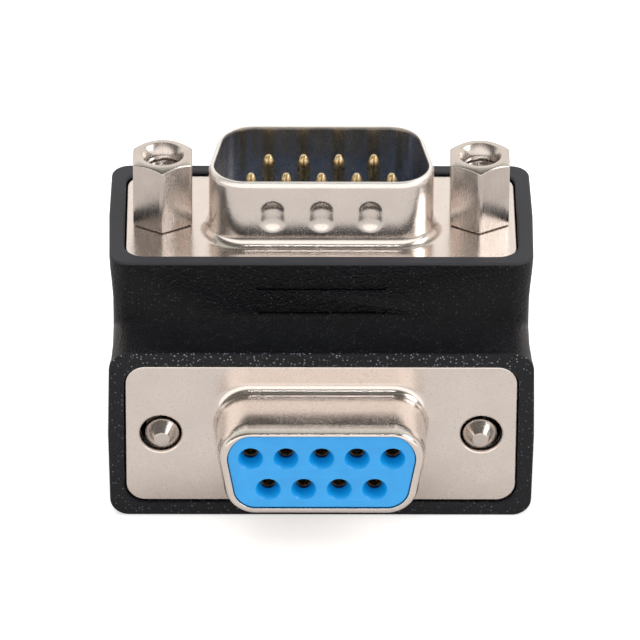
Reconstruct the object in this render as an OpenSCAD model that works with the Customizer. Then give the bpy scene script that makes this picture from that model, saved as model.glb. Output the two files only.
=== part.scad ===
// Right-angle 9-way D-sub adapter: plug on top, socket in front, moulded elbow body.
// Z is the plug's axis and points up, the body stands on z = 0, and the socket faces -Y.

/* [Ports] */
// Distance between neighbouring contacts in a row
pitch = 2.77; // [2.6:0.01:2.85]
// Distance between the two rows of contacts
row_gap = 2.84; // [2.6:0.01:2.9]
// Distance from the plug shell's inside end to a fixing hole's axis
hole_side = 4.035; // [3.9:0.005:4.2]
// Side walls of a D shell lean in by this angle
shell_slope = 10; // [8:0.5:12]

/* [Flange plates] */
// Distance from a fixing hole's axis to the end of its flange plate
plate_end = 2.905; // [2.7:0.005:3.2]
// Height of a flange plate
plate_h = 12.5; // [12.2:0.1:13.2]
// Corner radius of a flange plate
plate_r = 1.6; // [0.8:0.1:2.4]
// Thickness of the flange sheet
sheet_t = 0.5; // [0.4:0.05:0.6]
// Fixing hole in a flange plate
plate_hole_d = 3.4; // [3.1:0.05:3.5]
// Broken edge round a fixing hole
hole_edge = 0.16; // [0.05:0.01:0.2]

/* [D shells] */
// Thickness of a drawn shell wall
wall_t = 0.4; // [0.3:0.05:0.45]
// Outer radius where a shell wall leaves its flange
root_r = 0.8; // [0.4:0.1:1]
// Inside width of the plug shell across its wide side
plug_w = 16.92; // [16.6:0.02:17.2]
// Inside height of the plug shell
plug_h = 8.36; // [8.1:0.02:8.6]
// Inside corner radius of the plug shell
plug_r = 2.5; // [2:0.1:2.8]
// Height of the plug shell above its flange
plug_l = 5.75; // [5.4:0.05:6.2]
// Outside width of the socket shell across its wide side
socket_w = 16.33; // [16:0.01:16.5]
// Outside height of the socket shell
socket_h = 7.9; // [7.7:0.02:8]
// Outside corner radius of the socket shell
socket_r = 2.6; // [2.2:0.1:2.9]
// Height of the socket shell above its flange
socket_l = 5.85; // [5.4:0.05:6.2]
// Rounding of the socket shell's front edge
nose_r = 0.6; // [0.45:0.05:0.7]
// Straight end of the edge that turns in there
nose_run = 0.05; // [0.02:0.01:0.15]
// Length over which the socket shell's wall leans in, behind that edge
taper_l = 0.9; // [0.5:0.05:1.2]
// How far it leans in
taper = 0.1; // [0.05:0.01:0.12]

/* [Shell dimples] */
// Dimples in the wide side of the plug shell
dimples_wide = 3; // [0:1:3]
// Dimples in its narrow side
dimples_narrow = 0; // [0:1:2]
// Distance between neighbouring dimples
dimple_pitch = 3.83; // [3:0.01:4.2]
// Width of a dimple
dimple_w = 1.85; // [1.4:0.05:2.1]
// Straight stretch in the middle of a dimple
dimple_run = 0.7; // [0.2:0.1:1]
// Depth of a dimple
dimple_depth = 0.35; // [0.2:0.01:0.45]
// Height of the dimples' centres above the flange
dimple_up = 2.3; // [1.9:0.05:2.8]

/* [Rear shells] */
// Gap all round between a shell's outline and its wider rear pan
pan_grow = 0.62; // [0.5:0.01:0.65]
// Inside depth of a rear pan, behind its flange
pan_depth = 3; // [2.6:0.1:3.4]
// Width of the ledge at the bottom of a rear pan
pan_ledge = 1.4; // [1:0.1:1.6]

/* [Insulators] */
// Clearance between insulator and shell
insulator_gap = 0.05; // [0.02:0.01:0.1]
// Thickness of an insulator's base, held between the two shells
base_t = 1.5; // [1.2:0.1:1.8]
// How far the socket insulator's face lies behind its shell's front edge
face_recess = 0.1; // [0:0.05:0.3]
// Tail of a rear insulator, behind its pan
tail_l = 1; // [0.6:0.1:1.4]
// Entry bore of a socket hole
entry_d = 1.17; // [1.12:0.01:1.3]
// Countersink of a socket hole
entry_sink_d = 1.95; // [1.6:0.05:2.1]
// Depth of that countersink
entry_sink = 1.1; // [0.8:0.05:1.2]
// Distance from the insulator's face to the front of a contact
entry_l = 1.4; // [1.3:0.05:1.6]

/* [Contacts] */
// Diameter of a plug pin
pin_d = 1; // [0.96:0.01:1.04]
// Height of a pin's tip above the flange
pin_l = 4.8; // [4.4:0.05:5.2]
// Length of a pin's bullet tip
tip_l = 0.95; // [0.6:0.05:1.2]
// Outer diameter of a socket contact
contact_d = 1.7; // [1.6:0.02:1.8]
// Bore of a socket contact
contact_bore = 1.08; // [1.06:0.01:1.12]
// Depth of that bore
contact_depth = 6; // [5:0.1:6.6]
// Slit that lets a socket contact spring
slit_w = 0.2; // [0.15:0.01:0.3]
// Length of that slit
slit_l = 3.2; // [2:0.1:4]
// Diameter of the shoulder that holds a contact
shoulder_d = 2.1; // [1.95:0.05:2.2]
// Thickness of that shoulder
shoulder_t = 0.6; // [0.4:0.05:0.8]
// Diameter of a solder cup
cup_d = 1.5; // [1.4:0.05:1.55]
// Bore of a solder cup
cup_bore = 1; // [0.9:0.02:1.1]
// Length of a solder cup behind its insulator
cup_l = 3; // [2.6:0.1:3.1]
// Length of the cut that opens a solder cup
cup_cut = 1.8; // [1.2:0.1:2.2]
// Distance from a solder cup to the wire's insulation
wire_start = 0.2; // [0.1:0.05:0.4]
// Diameter of a wire with its insulation
wire_d = 1; // [0.8:0.05:1.2]
// Diameter of its bare end
strand_d = 0.6; // [0.4:0.05:0.7]
// Inner bend radius of the wires, at their middle
bend_r = 2.4; // [2:0.05:2.6]

/* [Moulded body] */
// Distance from each flange plate to the other port's axis
reach = 12.45; // [12.2:0.05:13.2]
// Rim round a flange plate at its short ends
rim_side = 1.35; // [1:0.05:1.6]
// Rim round a flange plate at its long edges
rim_edge = 1.25; // [1:0.05:1.6]
// How far the rim stands in front of the flange plate
rim_proud = 0.25; // [0.1:0.05:0.4]
// Draft of the side faces, away from the parting line
draft = 1; // [0.5:0.25:3]
// Rounding of the body's long edges
edge_r = 1.5; // [1:0.1:2]
// Rounding of the elbow's outer corner
elbow_r = 3.5; // [2.5:0.1:4]
// Clearance round a flange plate
plate_gap = 0.08; // [0.05:0.01:0.15]
// Clearance round whatever is moulded in
mould_gap = 0.02; // [0.02:0.005:0.05]
// Wall of the inner mould past the ends of a rear pan
core_end = 0.22; // [0.1:0.01:0.27]
// Wall of the inner mould over a rear pan
core_edge = 0.2; // [0.1:0.05:0.4]
// Length of an engraved grip line
line_l = 10.3; // [8:0.1:16]
// Height of an engraved grip line
line_h = 0.45; // [0.3:0.05:0.7]
// Depth of an engraved grip line
line_depth = 0.25; // [0.1:0.05:0.4]
// Distance from the rim to the first grip line
line_first = 2.25; // [1.5:0.05:2.6]
// Distance from one grip line to the next
line_pitch = 2.15; // [1.2:0.05:2.2]

/* [Standoffs] */
// Width of a hexagonal standoff across its flats
hex_af = 4.65; // [4.4:0.05:5]
// Height of a standoff above its flange
standoff_l = 5.75; // [5:0.05:6.5]
// Plain bore that stands for a standoff's thread
thread_bore = 2.3; // [2.2:0.05:2.4]
// Depth of that bore
thread_depth = 5; // [4:0.1:5.2]
// Countersink at the mouth of the bore
standoff_sink_d = 3.3; // [2.8:0.1:3.6]
// Diameter of a standoff's own stud
stud_d = 2.8; // [2.7:0.05:2.85]
// Length of that stud behind the front of the flange
stud_l = 4.2; // [3.8:0.1:4.8]
// Width of the stud's nut across its flats
nut_af = 4.75; // [4.5:0.05:4.8]
// Thickness of the stud's nut
nut_t = 2.4; // [1.8:0.1:2.6]
// Clearance between a stud and its nut
stud_gap = 0.02; // [0.02:0.005:0.04]

/* [Jackscrews] */
// Diameter of a jackscrew
screw_d = 2.7; // [2.6:0.05:2.85]
// Flat end of a jackscrew's tip
screw_tip_d = 1.3; // [1:0.05:1.8]
// Length of the cone behind that flat
tip_cone = 0.85; // [0.5:0.05:1.2]
// How far the tip stands in front of the flange at rest
tip_proud = 0.7; // [0.4:0.05:1]
// Travel of a jackscrew forwards from rest
travel_in = 4.3; // [3.5:0.1:4.5]
// Travel of a jackscrew backwards from rest
travel_out = 1.2; // [0.8:0.1:1.4]
// Radial clearance of a jackscrew in its bore
screw_gap = 0.1; // [0.05:0.01:0.15]
// Outer diameter of the retaining ring
ring_d = 4.4; // [4.2:0.05:4.5]
// Thickness of the retaining ring
ring_t = 0.6; // [0.5:0.05:0.8]
// Opening of the retaining ring
ring_open = 1.5; // [1.2:0.05:1.7]
// Depth of the groove that holds the ring
groove_depth = 0.4; // [0.3:0.01:0.45]
// Clearance of the ring, in its groove and in its pocket
ring_gap = 0.05; // [0.03:0.01:0.1]
// Diameter of a jackscrew's head
head_d = 5.6; // [5:0.1:6]
// Length of a jackscrew's head
head_l = 5; // [4:0.1:7]
// Depth of the knurling on a head
knurl_depth = 0.2; // [0.1:0.01:0.3]
// Width of a head's screwdriver slot
slot_w = 0.8; // [0.6:0.05:1]
// Depth of that slot
slot_depth = 1.2; // [0.8:0.1:1.6]

/* [Hidden] */
$fn = 64;
WIDE_ROW = 5;
CONTACTS = 9;
KNURLS = 24;
past = 2 * sheet_t; // how far a cut runs past the face it opens

screw_span = plug_w + 2 * hole_side; // between the two fixing holes of a port
plate_w = screw_span + 2 * plate_end;
plug = [plug_w, plug_h, plug_r]; // inside outline of the plug shell
socket = [socket_w - 2 * wall_t, socket_h - 2 * wall_t, socket_r - wall_t];
flange_back = 2 * sheet_t; // both flanges, front to back
base_back = sheet_t + base_t;
pan_back = sheet_t + pan_depth; // inner floor of a rear pan
tail_back = pan_back + sheet_t + tail_l;
cup_back = tail_back + cup_l;
wire_back = cup_back + wire_start;
face_l = socket_l - face_recess; // face of the socket insulator
nose_lip = taper + nose_r - wall_t + nose_run; // how far the socket shell's front edge turns in
core_w = plug_w + 2 * (pan_grow + sheet_t + core_end);
core_h = plug_h + 2 * (pan_grow + sheet_t + core_edge);

half_h = plate_h / 2 + rim_edge; // half the height of a body arm
half_w = plate_w / 2 + rim_side; // half its width on the parting line
axis_z = half_h;
plug_z = axis_z + reach;
mouth = reach + rim_proud; // from the elbow's centre to a mouth
elbow_c = half_h - elbow_r;

screw_r = screw_d / 2;
ring_front = flange_back + travel_in + ring_gap; // the ring at rest, behind the flange's front
ring_back = ring_front + ring_t;
pocket_back = ring_back + travel_out + ring_gap;
head_front = reach + half_h + travel_in + ring_gap; // underside of the head, same measure
pocket_r = ring_d / 2 + ring_gap;

// ---- where things are ----

// In a port's own frame X runs along the rows, Y points to the wide row and Z is the way out.
module plug_frame() {
  translate([0, 0, plug_z]) rotate([0, 0, 180]) children();
}

module socket_frame() {
  translate([0, -reach, axis_z]) rotate([90, 0, 0]) children();
}

// Contacts 1 to 5 are the wide row and 6 to 9 the narrow one; contact 1 is at +X on both ports.
function in_wide_row(i) = i <= WIDE_ROW;
function contact_x(i) = pitch * (in_wide_row(i) ? (WIDE_ROW + 1) / 2 - i : (WIDE_ROW + 1 + CONTACTS) / 2 - i);
function contact_y(i) = in_wide_row(i) ? row_gap / 2 : -row_gap / 2;

module at_contact(i, flip = 1) {
  translate([flip * contact_x(i), contact_y(i), 0]) children();
}

module at_screws(sides = [-1, 1]) {
  for (side = sides) translate([side * screw_span / 2, 0, 0]) children();
}

// ---- outlines and profiles ----

NORMALS = [90, -shell_slope, -90, 180 + shell_slope]; // top, right, bottom and left side of a D
BLEND = 2;
function side_dir(k) = [cos(NORMALS[k % 4]), sin(NORMALS[k % 4])];

// Centres of a D outline's corners: top left, top right, bottom right, bottom left.
function d_corners(d) = let (
    top = d[0] / 2 - d[2],
    up = d[1] / 2 - d[2],
    low = top - 2 * up * tan(shell_slope)
  ) [[-top, up], [top, up], [low, -up], [-low, -up]];

function grown(d, by) = [d[0] + 2 * by, d[1] + 2 * by, d[2] + by];

module pie(r, from, to) {
  intersection() {
    circle(r);
    polygon([[0, 0], 2 * r * from, 2 * r * (from + to), 2 * r * to]);
  }
}

// Its straight sides cut the corner circles at BLEND instead of touching them, which keeps the edges clean.
module d_outline(d) {
  c = d_corners(d);
  ways = [for (k = [0 : 3]) side_dir(k) + side_dir(k + 3)];
  side_r = d[2] * cos(BLEND);
  difference() {
    polygon([for (k = [0 : 3]) c[k] + side_r * ways[k] / (1 + side_dir(k) * side_dir(k + 3))]);
    for (k = [0 : 3]) translate(c[k]) difference() {
      polygon([[0, 0], 2 * d[2] * side_dir(k), 2 * d[2] * ways[k], 2 * d[2] * side_dir(k + 3)]);
      circle(d[2]);
    }
  }
}

// Sweeps a profile round a D outline: its X runs outwards from the outline, its Y runs up.
module d_sweep(d) {
  c = d_corners(d);
  turns = [90 + shell_slope, 90 + shell_slope, 90 - shell_slope, 90 - shell_slope];
  for (k = [0 : 3]) {
    side = c[(k + 1) % 4] - c[k];
    translate(c[k]) {
      rotate([0, 0, NORMALS[k]]) rotate_extrude(angle = turns[k]) translate([d[2], 0]) children();
      rotate([0, 0, NORMALS[k]]) rotate([90, 0, 0]) linear_extrude(norm(side)) translate([d[2], 0]) children();
    }
  }
}

module round_rect(w, h, r) {
  difference() {
    square([w, h], center = true);
    for (sx = [-1, 1], sy = [-1, 1]) translate([sx * w / 2, sy * h / 2]) difference() {
      square(2 * r, center = true);
      translate([-sx * r, -sy * r]) circle(r);
    }
  }
}

// What is cut away to round a corner at the origin whose material lies towards (sx, sy).
module corner_cut(r, sx, sy) {
  mirror([sx < 0 ? 1 : 0, 0]) mirror([0, sy < 0 ? 1 : 0]) difference() {
    translate([-past, -past]) square(past + r);
    translate([r, r]) circle(r);
  }
}

// ---- moulded body, in a frame with its origin where the ports' axes meet ----

// Cross-section of an arm: drafted both ways from the parting line on Y = 0, with rounded corners.
module arm_section() {
  up = half_h - edge_r;
  across = half_w - edge_r / cos(draft) - up * tan(draft);
  slant = [cos(draft), sin(draft)];
  for (sy = [-1, 1]) {
    side = [for (s = [[half_w, 0], [across, up] + edge_r * slant, [across, up], [across, half_h]]) [s[0], sy * s[1]]];
    polygon(concat(side, [for (k = [3 : -1 : 0]) [-side[k][0], side[k][1]]]));
    for (sx = [-1, 1]) translate([sx * across, sy * up]) pie(edge_r, [sx * slant[0], sy * slant[1]], [0, sy]);
  }
}

// Side view of the upper arm above the mitre, as points (Y, Z).
module arm_side(high, top, corner) {
  rotate([90, 0, 90]) linear_extrude(2 * half_w + 2 * past, center = true)
    polygon([[-high, high], [corner, -corner], [high, -corner], [high, top], [-high, top]]);
}

// Makes the upper arm's children serve both arms.
module both_arms() {
  children();
  mirror([0, 1, 1]) children();
}

module elbow_round() {
  translate([0, elbow_c, -elbow_c]) rotate([0, 90, 0]) rotate_extrude(angle = 90) intersection() {
    translate([-elbow_c, 0]) rotate(-90) arm_section();
    translate([0, -half_w - past]) square([elbow_r, 2 * (half_w + past)]);
  }
}

module body_solid() {
  both_arms() intersection() {
    translate([0, 0, -half_h]) linear_extrude(half_h + mouth) arm_section();
    arm_side(half_h, mouth, elbow_c);
  }
  elbow_round();
}

// The L-shaped block inside, up to the flanges.
module core_block(gap) {
  high = core_h / 2 + gap;
  front = reach - flange_back + gap;
  rotate([90, 0, 90]) linear_extrude(core_w + 2 * gap, center = true)
    polygon([[-high, high], [-front, high], [-front, -high], [high, -high], [high, front], [-high, front]]);
}

module grip_lines() {
  for (k = [0, 1]) translate([0, -half_h, mouth - line_first - k * line_pitch]) rotate([90, 0, 0])
    linear_extrude(2 * line_depth, center = true) {
      square([line_l - line_h, line_h], center = true);
      for (sx = [-1, 1]) translate([sx * (line_l - line_h) / 2, 0]) pie(line_h / 2, [0, -sx], [sx, 0]);
      for (sx = [-1, 1]) translate([sx * (line_l - line_h) / 2, 0]) pie(line_h / 2, [sx, 0], [0, sx]);
    }
}

module flange_pockets() {
  both_arms() translate([0, 0, reach - flange_back - plate_gap])
    linear_extrude(flange_back + plate_gap + past)
      round_rect(plate_w + 2 * plate_gap, plate_h + 2 * plate_gap, plate_r + plate_gap);
}

module overmold() {
  color([0.09, 0.09, 0.1]) translate([0, 0, axis_z]) difference() {
    body_solid();
    flange_pockets();
    core_block(mould_gap);
    grip_lines();
    translate([0, 0, reach]) at_screws() standoff_pocket();
    translate([0, -reach, 0]) rotate([90, 0, 0]) at_screws() screw_bore();
  }
}

module standoff_pocket() {
  translate([0, 0, -flange_back - nut_t - 2 * mould_gap]) rotate([0, 0, 30]) linear_extrude(nut_t + flange_back)
    circle(d = (nut_af + 2 * mould_gap) / cos(30), $fn = 6);
  translate([0, 0, -stud_l - 5 * mould_gap]) cylinder(d = stud_d + 2 * stud_gap, h = stud_l);
}

module screw_bore() {
  translate([0, 0, -reach - half_h - past]) cylinder(r = screw_r + screw_gap, h = reach + half_h + past);
  translate([0, 0, -pocket_back]) cylinder(r = pocket_r, h = pocket_back);
}

module inner_mold() {
  color([0.85, 0.84, 0.78]) translate([0, 0, axis_z]) difference() {
    core_block(0);
    translate([0, 0, reach]) rotate([0, 0, 180]) rear_space(plug);
    translate([0, -reach, 0]) rotate([90, 0, 0]) rear_space(socket);
    for (i = [1 : CONTACTS]) wire_run(i, wire_d / 2 + mould_gap);
  }
}

// Room for a rear pan, its insulator's tail and the solder cups, behind the flanges.
module rear_space(d) {
  pan = grown(d, pan_grow + sheet_t + mould_gap);
  tail = grown(d, pan_grow - pan_ledge + mould_gap);
  translate([0, 0, -pan_back - sheet_t - mould_gap]) linear_extrude(pan_back + past) d_outline(pan);
  translate([0, 0, -tail_back - mould_gap]) linear_extrude(tail_back) d_outline(tail);
  for (i = [1 : CONTACTS]) at_contact(i) translate([0, 0, -wire_back - mould_gap])
    cylinder(d = cup_d + 2 * mould_gap, h = wire_back);
}

// ---- shells, insulators ----

// Section of a drawn wall with its root in the flange; X = 0 is the inside of the wall.
module wall_profile(l) {
  difference() {
    union() {
      translate([0, -sheet_t]) square([wall_t, sheet_t + l]);
      translate([0, -sheet_t]) square([wall_t + root_r, sheet_t]);
      translate([wall_t, 0]) corner_fill(root_r);
    }
    translate([0, -sheet_t]) corner_cut(sheet_t, 1, 1);
    children();
  }
}

// Concave fillet between two faces that meet at the origin.
module corner_fill(r) {
  difference() {
    square(r);
    translate([r, r]) circle(r);
  }
}

// A flange with its fixing holes, before the D opening is cut.
module flange_plate() {
  difference() {
    translate([0, 0, -sheet_t]) linear_extrude(sheet_t) round_rect(plate_w, plate_h, plate_r);
    at_screws() {
      translate([0, 0, -sheet_t - past]) cylinder(d = plate_hole_d, h = sheet_t + 2 * past);
      translate([0, 0, -hole_edge]) cylinder(d1 = plate_hole_d, d2 = plate_hole_d + 4 * hole_edge, h = 2 * hole_edge);
    }
  }
}

// The flange of a front shell, up to the root of its drawn wall.
module front_flange(d) {
  difference() {
    flange_plate();
    translate([0, 0, -sheet_t - past]) linear_extrude(sheet_t + 2 * past) d_outline(grown(d, wall_t + root_r / 2));
  }
}

// A pressed dimple on the plug shell's wall, whose outside is at Y = 0; it points to -Y.
module dimple(grow) {
  round_r = (pow(dimple_w / 2, 2) + pow(dimple_depth, 2)) / (2 * dimple_depth);
  translate([0, round_r - dimple_depth, dimple_up]) {
    translate([0, 0, -dimple_run / 2]) cylinder(r = round_r + grow, h = dimple_run);
    for (sz = [-1, 1]) translate([0, 0, sz * dimple_run / 2]) sphere(round_r + grow);
  }
}

module at_dimples() {
  wall = plug_h / 2 + wall_t;
  for (k = [0 : 1 : dimples_wide - 1])
    translate([(k - (dimples_wide - 1) / 2) * dimple_pitch, wall, 0]) children();
  for (k = [0 : 1 : dimples_narrow - 1])
    translate([(k - (dimples_narrow - 1) / 2) * dimple_pitch, -wall, 0]) mirror([0, 1, 0]) children();
}

module plug_front_shell() {
  color([0.79, 0.75, 0.72]) plug_frame() {
    front_flange(plug);
    difference() {
      union() {
        d_sweep(plug) wall_profile(plug_l) {
          translate([wall_t, plug_l]) corner_cut(wall_t / 3, -1, -1);
          translate([0, plug_l]) corner_cut(wall_t / 3, 1, -1);
        }
        at_dimples() intersection() {
          dimple(wall_t);
          translate([-dimple_w, -2 * wall_t, 0]) cube([2 * dimple_w, 1.5 * wall_t, 2 * dimple_up]);
        }
      }
      at_dimples() dimple(0);
    }
  }
}

module socket_front_shell() {
  color([0.79, 0.75, 0.72]) socket_frame() {
    front_flange(socket);
    d_sweep(socket) {
      wall_profile(socket_l - nose_r - taper_l);
      translate([0, socket_l - nose_r - taper_l])
        polygon([[0, 0], [wall_t, 0], [wall_t - taper, taper_l], [-taper, taper_l]]);
      translate([wall_t - taper - nose_r, socket_l - nose_r]) difference() {
        pie(nose_r, [1, 0], [0, 1]);
        circle(nose_r - wall_t);
      }
      translate([-nose_lip, socket_l - wall_t]) square([nose_run, wall_t]);
    }
  }
}

module rear_shell(d) {
  floor_z = -pan_depth;
  color([0.72, 0.7, 0.68]) translate([0, 0, -sheet_t]) difference() {
    union() {
      flange_plate();
      translate([0, 0, floor_z - sheet_t]) linear_extrude(pan_depth + sheet_t / 2)
        d_outline(grown(d, pan_grow + sheet_t));
    }
    translate([0, 0, floor_z]) linear_extrude(pan_depth + past) d_outline(grown(d, pan_grow));
    translate([0, 0, floor_z - sheet_t - past]) linear_extrude(sheet_t + 2 * past)
      d_outline(grown(d, pan_grow - pan_ledge));
  }
}

module plug_rear_shell() {
  plug_frame() rear_shell(plug);
}

module socket_rear_shell() {
  socket_frame() rear_shell(socket);
}

// The base that both front insulators have, with its way through for the contacts.
module insulator_base(d) {
  translate([0, 0, -base_back]) linear_extrude(base_t) d_outline(grown(d, pan_grow - insulator_gap));
}

module plug_front_insulator() {
  color([0.1, 0.11, 0.14]) plug_frame() difference() {
    union() {
      insulator_base(plug);
      translate([0, 0, -base_back / 2]) linear_extrude(base_back / 2) d_outline(grown(plug, -insulator_gap));
    }
    for (i = [1 : CONTACTS]) at_contact(i, -1) translate([0, 0, -base_back - past])
      cylinder(d = pin_d + 2 * insulator_gap, h = base_back + 2 * past);
  }
}

module socket_front_insulator() {
  face = grown(socket, -nose_lip - insulator_gap);
  color([0.25, 0.66, 0.92]) socket_frame() difference() {
    union() {
      insulator_base(socket);
      translate([0, 0, -base_back / 2]) linear_extrude(base_back / 2 + socket_l - nose_r - taper_l)
        d_outline(grown(socket, -insulator_gap));
      linear_extrude(face_l) d_outline(face);
    }
    for (i = [1 : CONTACTS]) at_contact(i) {
      translate([0, 0, -base_back - past])
        cylinder(d = contact_d + 2 * insulator_gap, h = past + base_back + face_l - entry_l);
      cylinder(d = entry_d, h = face_l + past);
      translate([0, 0, face_l - entry_sink])
        cylinder(d1 = entry_d, d2 = 2 * entry_sink_d - entry_d, h = 2 * entry_sink);
    }
  }
}

module rear_insulator(d, flip) {
  difference() {
    union() {
      translate([0, 0, -pan_back + insulator_gap]) linear_extrude(pan_back - base_back - insulator_gap)
        d_outline(grown(d, pan_grow - insulator_gap));
      translate([0, 0, -tail_back]) linear_extrude(tail_back - base_back)
        d_outline(grown(d, pan_grow - pan_ledge - insulator_gap));
    }
    for (i = [1 : CONTACTS]) at_contact(i, flip) {
      translate([0, 0, -tail_back - past])
        cylinder(d = cup_d + 2 * insulator_gap, h = tail_back);
      translate([0, 0, -base_back - shoulder_t - insulator_gap])
        cylinder(d = shoulder_d + 2 * insulator_gap, h = shoulder_t + insulator_gap + past);
    }
  }
}

module plug_rear_insulator() {
  color([0.13, 0.13, 0.15]) plug_frame() rear_insulator(plug, -1);
}

module socket_rear_insulator() {
  color([0.2, 0.55, 0.8]) socket_frame() rear_insulator(socket, 1);
}

// ---- contacts and wires ----

// Shoulder, shank and solder cup, which pins and socket contacts share.
module contact_rear() {
  difference() {
    union() {
      translate([0, 0, -base_back - shoulder_t]) cylinder(d = shoulder_d, h = shoulder_t);
      translate([0, 0, -cup_back]) cylinder(d = cup_d, h = cup_back - base_back);
    }
    translate([0, 0, -cup_back - past]) cylinder(d = cup_bore, h = cup_l + past - wall_t);
    translate([-cup_d, 0, -cup_back - past]) cube([2 * cup_d, cup_d, cup_cut + past]);
  }
}

module plug_pin(i) {
  pin_r = pin_d / 2;
  nib_r = pin_r / 4;
  ogive_r = (pow(tip_l, 2) + pow(pin_r - nib_r, 2)) / (2 * (pin_r - nib_r));
  color([0.86, 0.7, 0.36]) plug_frame() at_contact(i, -1) {
    contact_rear();
    translate([0, 0, -base_back]) rotate_extrude() {
      square([pin_r, base_back + pin_l - tip_l]);
      translate([0, base_back + pin_l - tip_l]) intersection() {
        square([2 * pin_r, tip_l]);
        translate([pin_r - ogive_r, 0]) circle(ogive_r);
      }
    }
  }
}

module socket_contact(i) {
  front = face_l - entry_l - insulator_gap;
  color([0.86, 0.7, 0.36]) socket_frame() at_contact(i) {
    contact_rear();
    difference() {
      translate([0, 0, -base_back]) cylinder(d = contact_d, h = base_back + front);
      translate([0, 0, front - contact_depth]) cylinder(d = contact_bore, h = contact_depth + past);
      translate([-contact_d, -slit_w / 2, front - slit_l]) cube([2 * contact_d, slit_w, slit_l + past]);
    }
  }
}

// One wire's way round the elbow, in the frame where the ports' axes meet.
module wire_run(i, r) {
  side = contact_y(i);
  turn_r = bend_r + row_gap / 2 - side;
  centre = row_gap / 2 + bend_r;
  straight = reach - wire_back - centre;
  translate([contact_x(i), 0, 0]) {
    translate([0, -centre, side]) rotate([90, 0, 0]) cylinder(r = r, h = straight);
    translate([0, -side, centre]) cylinder(r = r, h = straight);
    translate([0, -centre, centre]) rotate([0, 90, 0]) rotate_extrude(angle = 90)
      translate([turn_r, 0]) circle(r);
  }
}

module wire(i) {
  bare_l = cup_l - wall_t + wire_back - cup_back - mould_gap;
  color([0.75, 0.12, 0.1]) translate([0, 0, axis_z]) {
    wire_run(i, wire_d / 2);
    translate([contact_x(i), -reach + wire_back, contact_y(i)]) rotate([90, 0, 0])
      cylinder(d = strand_d, h = bare_l);
    translate([contact_x(i), -contact_y(i), reach - wire_back]) cylinder(d = strand_d, h = bare_l);
  }
}

// ---- fixings ----

module standoff(side) {
  corner_d = hex_af / cos(30);
  bevel = (corner_d - hex_af) / 2;
  color([0.78, 0.75, 0.72]) plug_frame() at_screws([-side]) difference() {
    union() {
      intersection() {
        rotate([0, 0, 30]) cylinder(d = corner_d, h = standoff_l, $fn = 6);
        rotate_extrude() polygon([[0, 0], [corner_d, 0], [corner_d, standoff_l - bevel - corner_d / 2 / sqrt(3)],
          [hex_af / 2, standoff_l], [0, standoff_l]]);
      }
      translate([0, 0, -stud_l]) cylinder(d = stud_d, h = stud_l + past);
    }
    translate([0, 0, standoff_l - thread_depth]) cylinder(d = thread_bore, h = thread_depth + past);
    translate([0, 0, standoff_l - (standoff_sink_d - thread_bore) / 2])
      cylinder(d1 = thread_bore, d2 = 2 * standoff_sink_d - thread_bore, h = standoff_sink_d - thread_bore);
  }
}

module standoff_nut(side) {
  color([0.7, 0.68, 0.62]) plug_frame() at_screws([-side])
    translate([0, 0, -flange_back - nut_t - mould_gap]) difference() {
      rotate([0, 0, 30]) linear_extrude(nut_t) circle(d = nut_af / cos(30), $fn = 6);
      translate([0, 0, -past]) cylinder(d = stud_d + 2 * stud_gap, h = nut_t + 2 * past);
    }
}

module jackscrew(side) {
  tooth = 180 / KNURLS;
  color([0.78, 0.75, 0.72]) socket_frame() at_screws([side]) {
    rotate_extrude() polygon([
      [0, tip_proud], [screw_tip_d / 2, tip_proud], [screw_r, tip_proud - tip_cone],
      [screw_r, -ring_front + ring_gap], [screw_r - groove_depth, -ring_front + ring_gap],
      [screw_r - groove_depth, -ring_back - ring_gap], [screw_r, -ring_back - ring_gap],
      [screw_r, -head_front], [0, -head_front]
    ]);
    translate([0, 0, -head_front - head_l]) difference() {
      linear_extrude(head_l) polygon([for (k = [0 : 2 * KNURLS - 1])
        (head_d / 2 - (k % 2) * knurl_depth) * [cos(k * tooth), sin(k * tooth)]]);
      translate([-head_d, -slot_w / 2, -past]) cube([2 * head_d, slot_w, slot_depth + past]);
    }
  }
}

module jackscrew_ring(side) {
  inner_r = screw_r - groove_depth + ring_gap;
  color([0.6, 0.6, 0.6]) socket_frame() at_screws([side]) translate([0, 0, -ring_back]) difference() {
    cylinder(d = ring_d, h = ring_t);
    translate([0, 0, -past]) cylinder(r = inner_r, h = ring_t + 2 * past);
    translate([-ring_open / 2, 0, -past]) cube([ring_open, ring_d, ring_t + 2 * past]);
  }
}

overmold();
inner_mold();
plug_front_shell();
plug_rear_shell();
plug_front_insulator();
plug_rear_insulator();
socket_front_shell();
socket_rear_shell();
socket_front_insulator();
socket_rear_insulator();
for (i = [1 : CONTACTS]) {
  plug_pin(i);
  socket_contact(i);
  wire(i);
}
standoff(-1);  // standoff_left
standoff(1);  // standoff_right
standoff_nut(-1);  // standoff_nut_left
standoff_nut(1);  // standoff_nut_right
jackscrew(-1);  // jackscrew_left
jackscrew(1);  // jackscrew_right
jackscrew_ring(-1);  // jackscrew_ring_left
jackscrew_ring(1);  // jackscrew_ring_right
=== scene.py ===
"""Looks of the right-angle D-sub adapter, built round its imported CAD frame.

Lengths written as NUMBER * MM are metres. A port's own frame has X along the rows of contacts,
Y towards the wide row and Z out of the port, with its origin on the front of the flange plate.
"""

import math

import bmesh
import bpy
from mathutils import Matrix, Vector
from mathutils.geometry import tessellate_polygon


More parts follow.
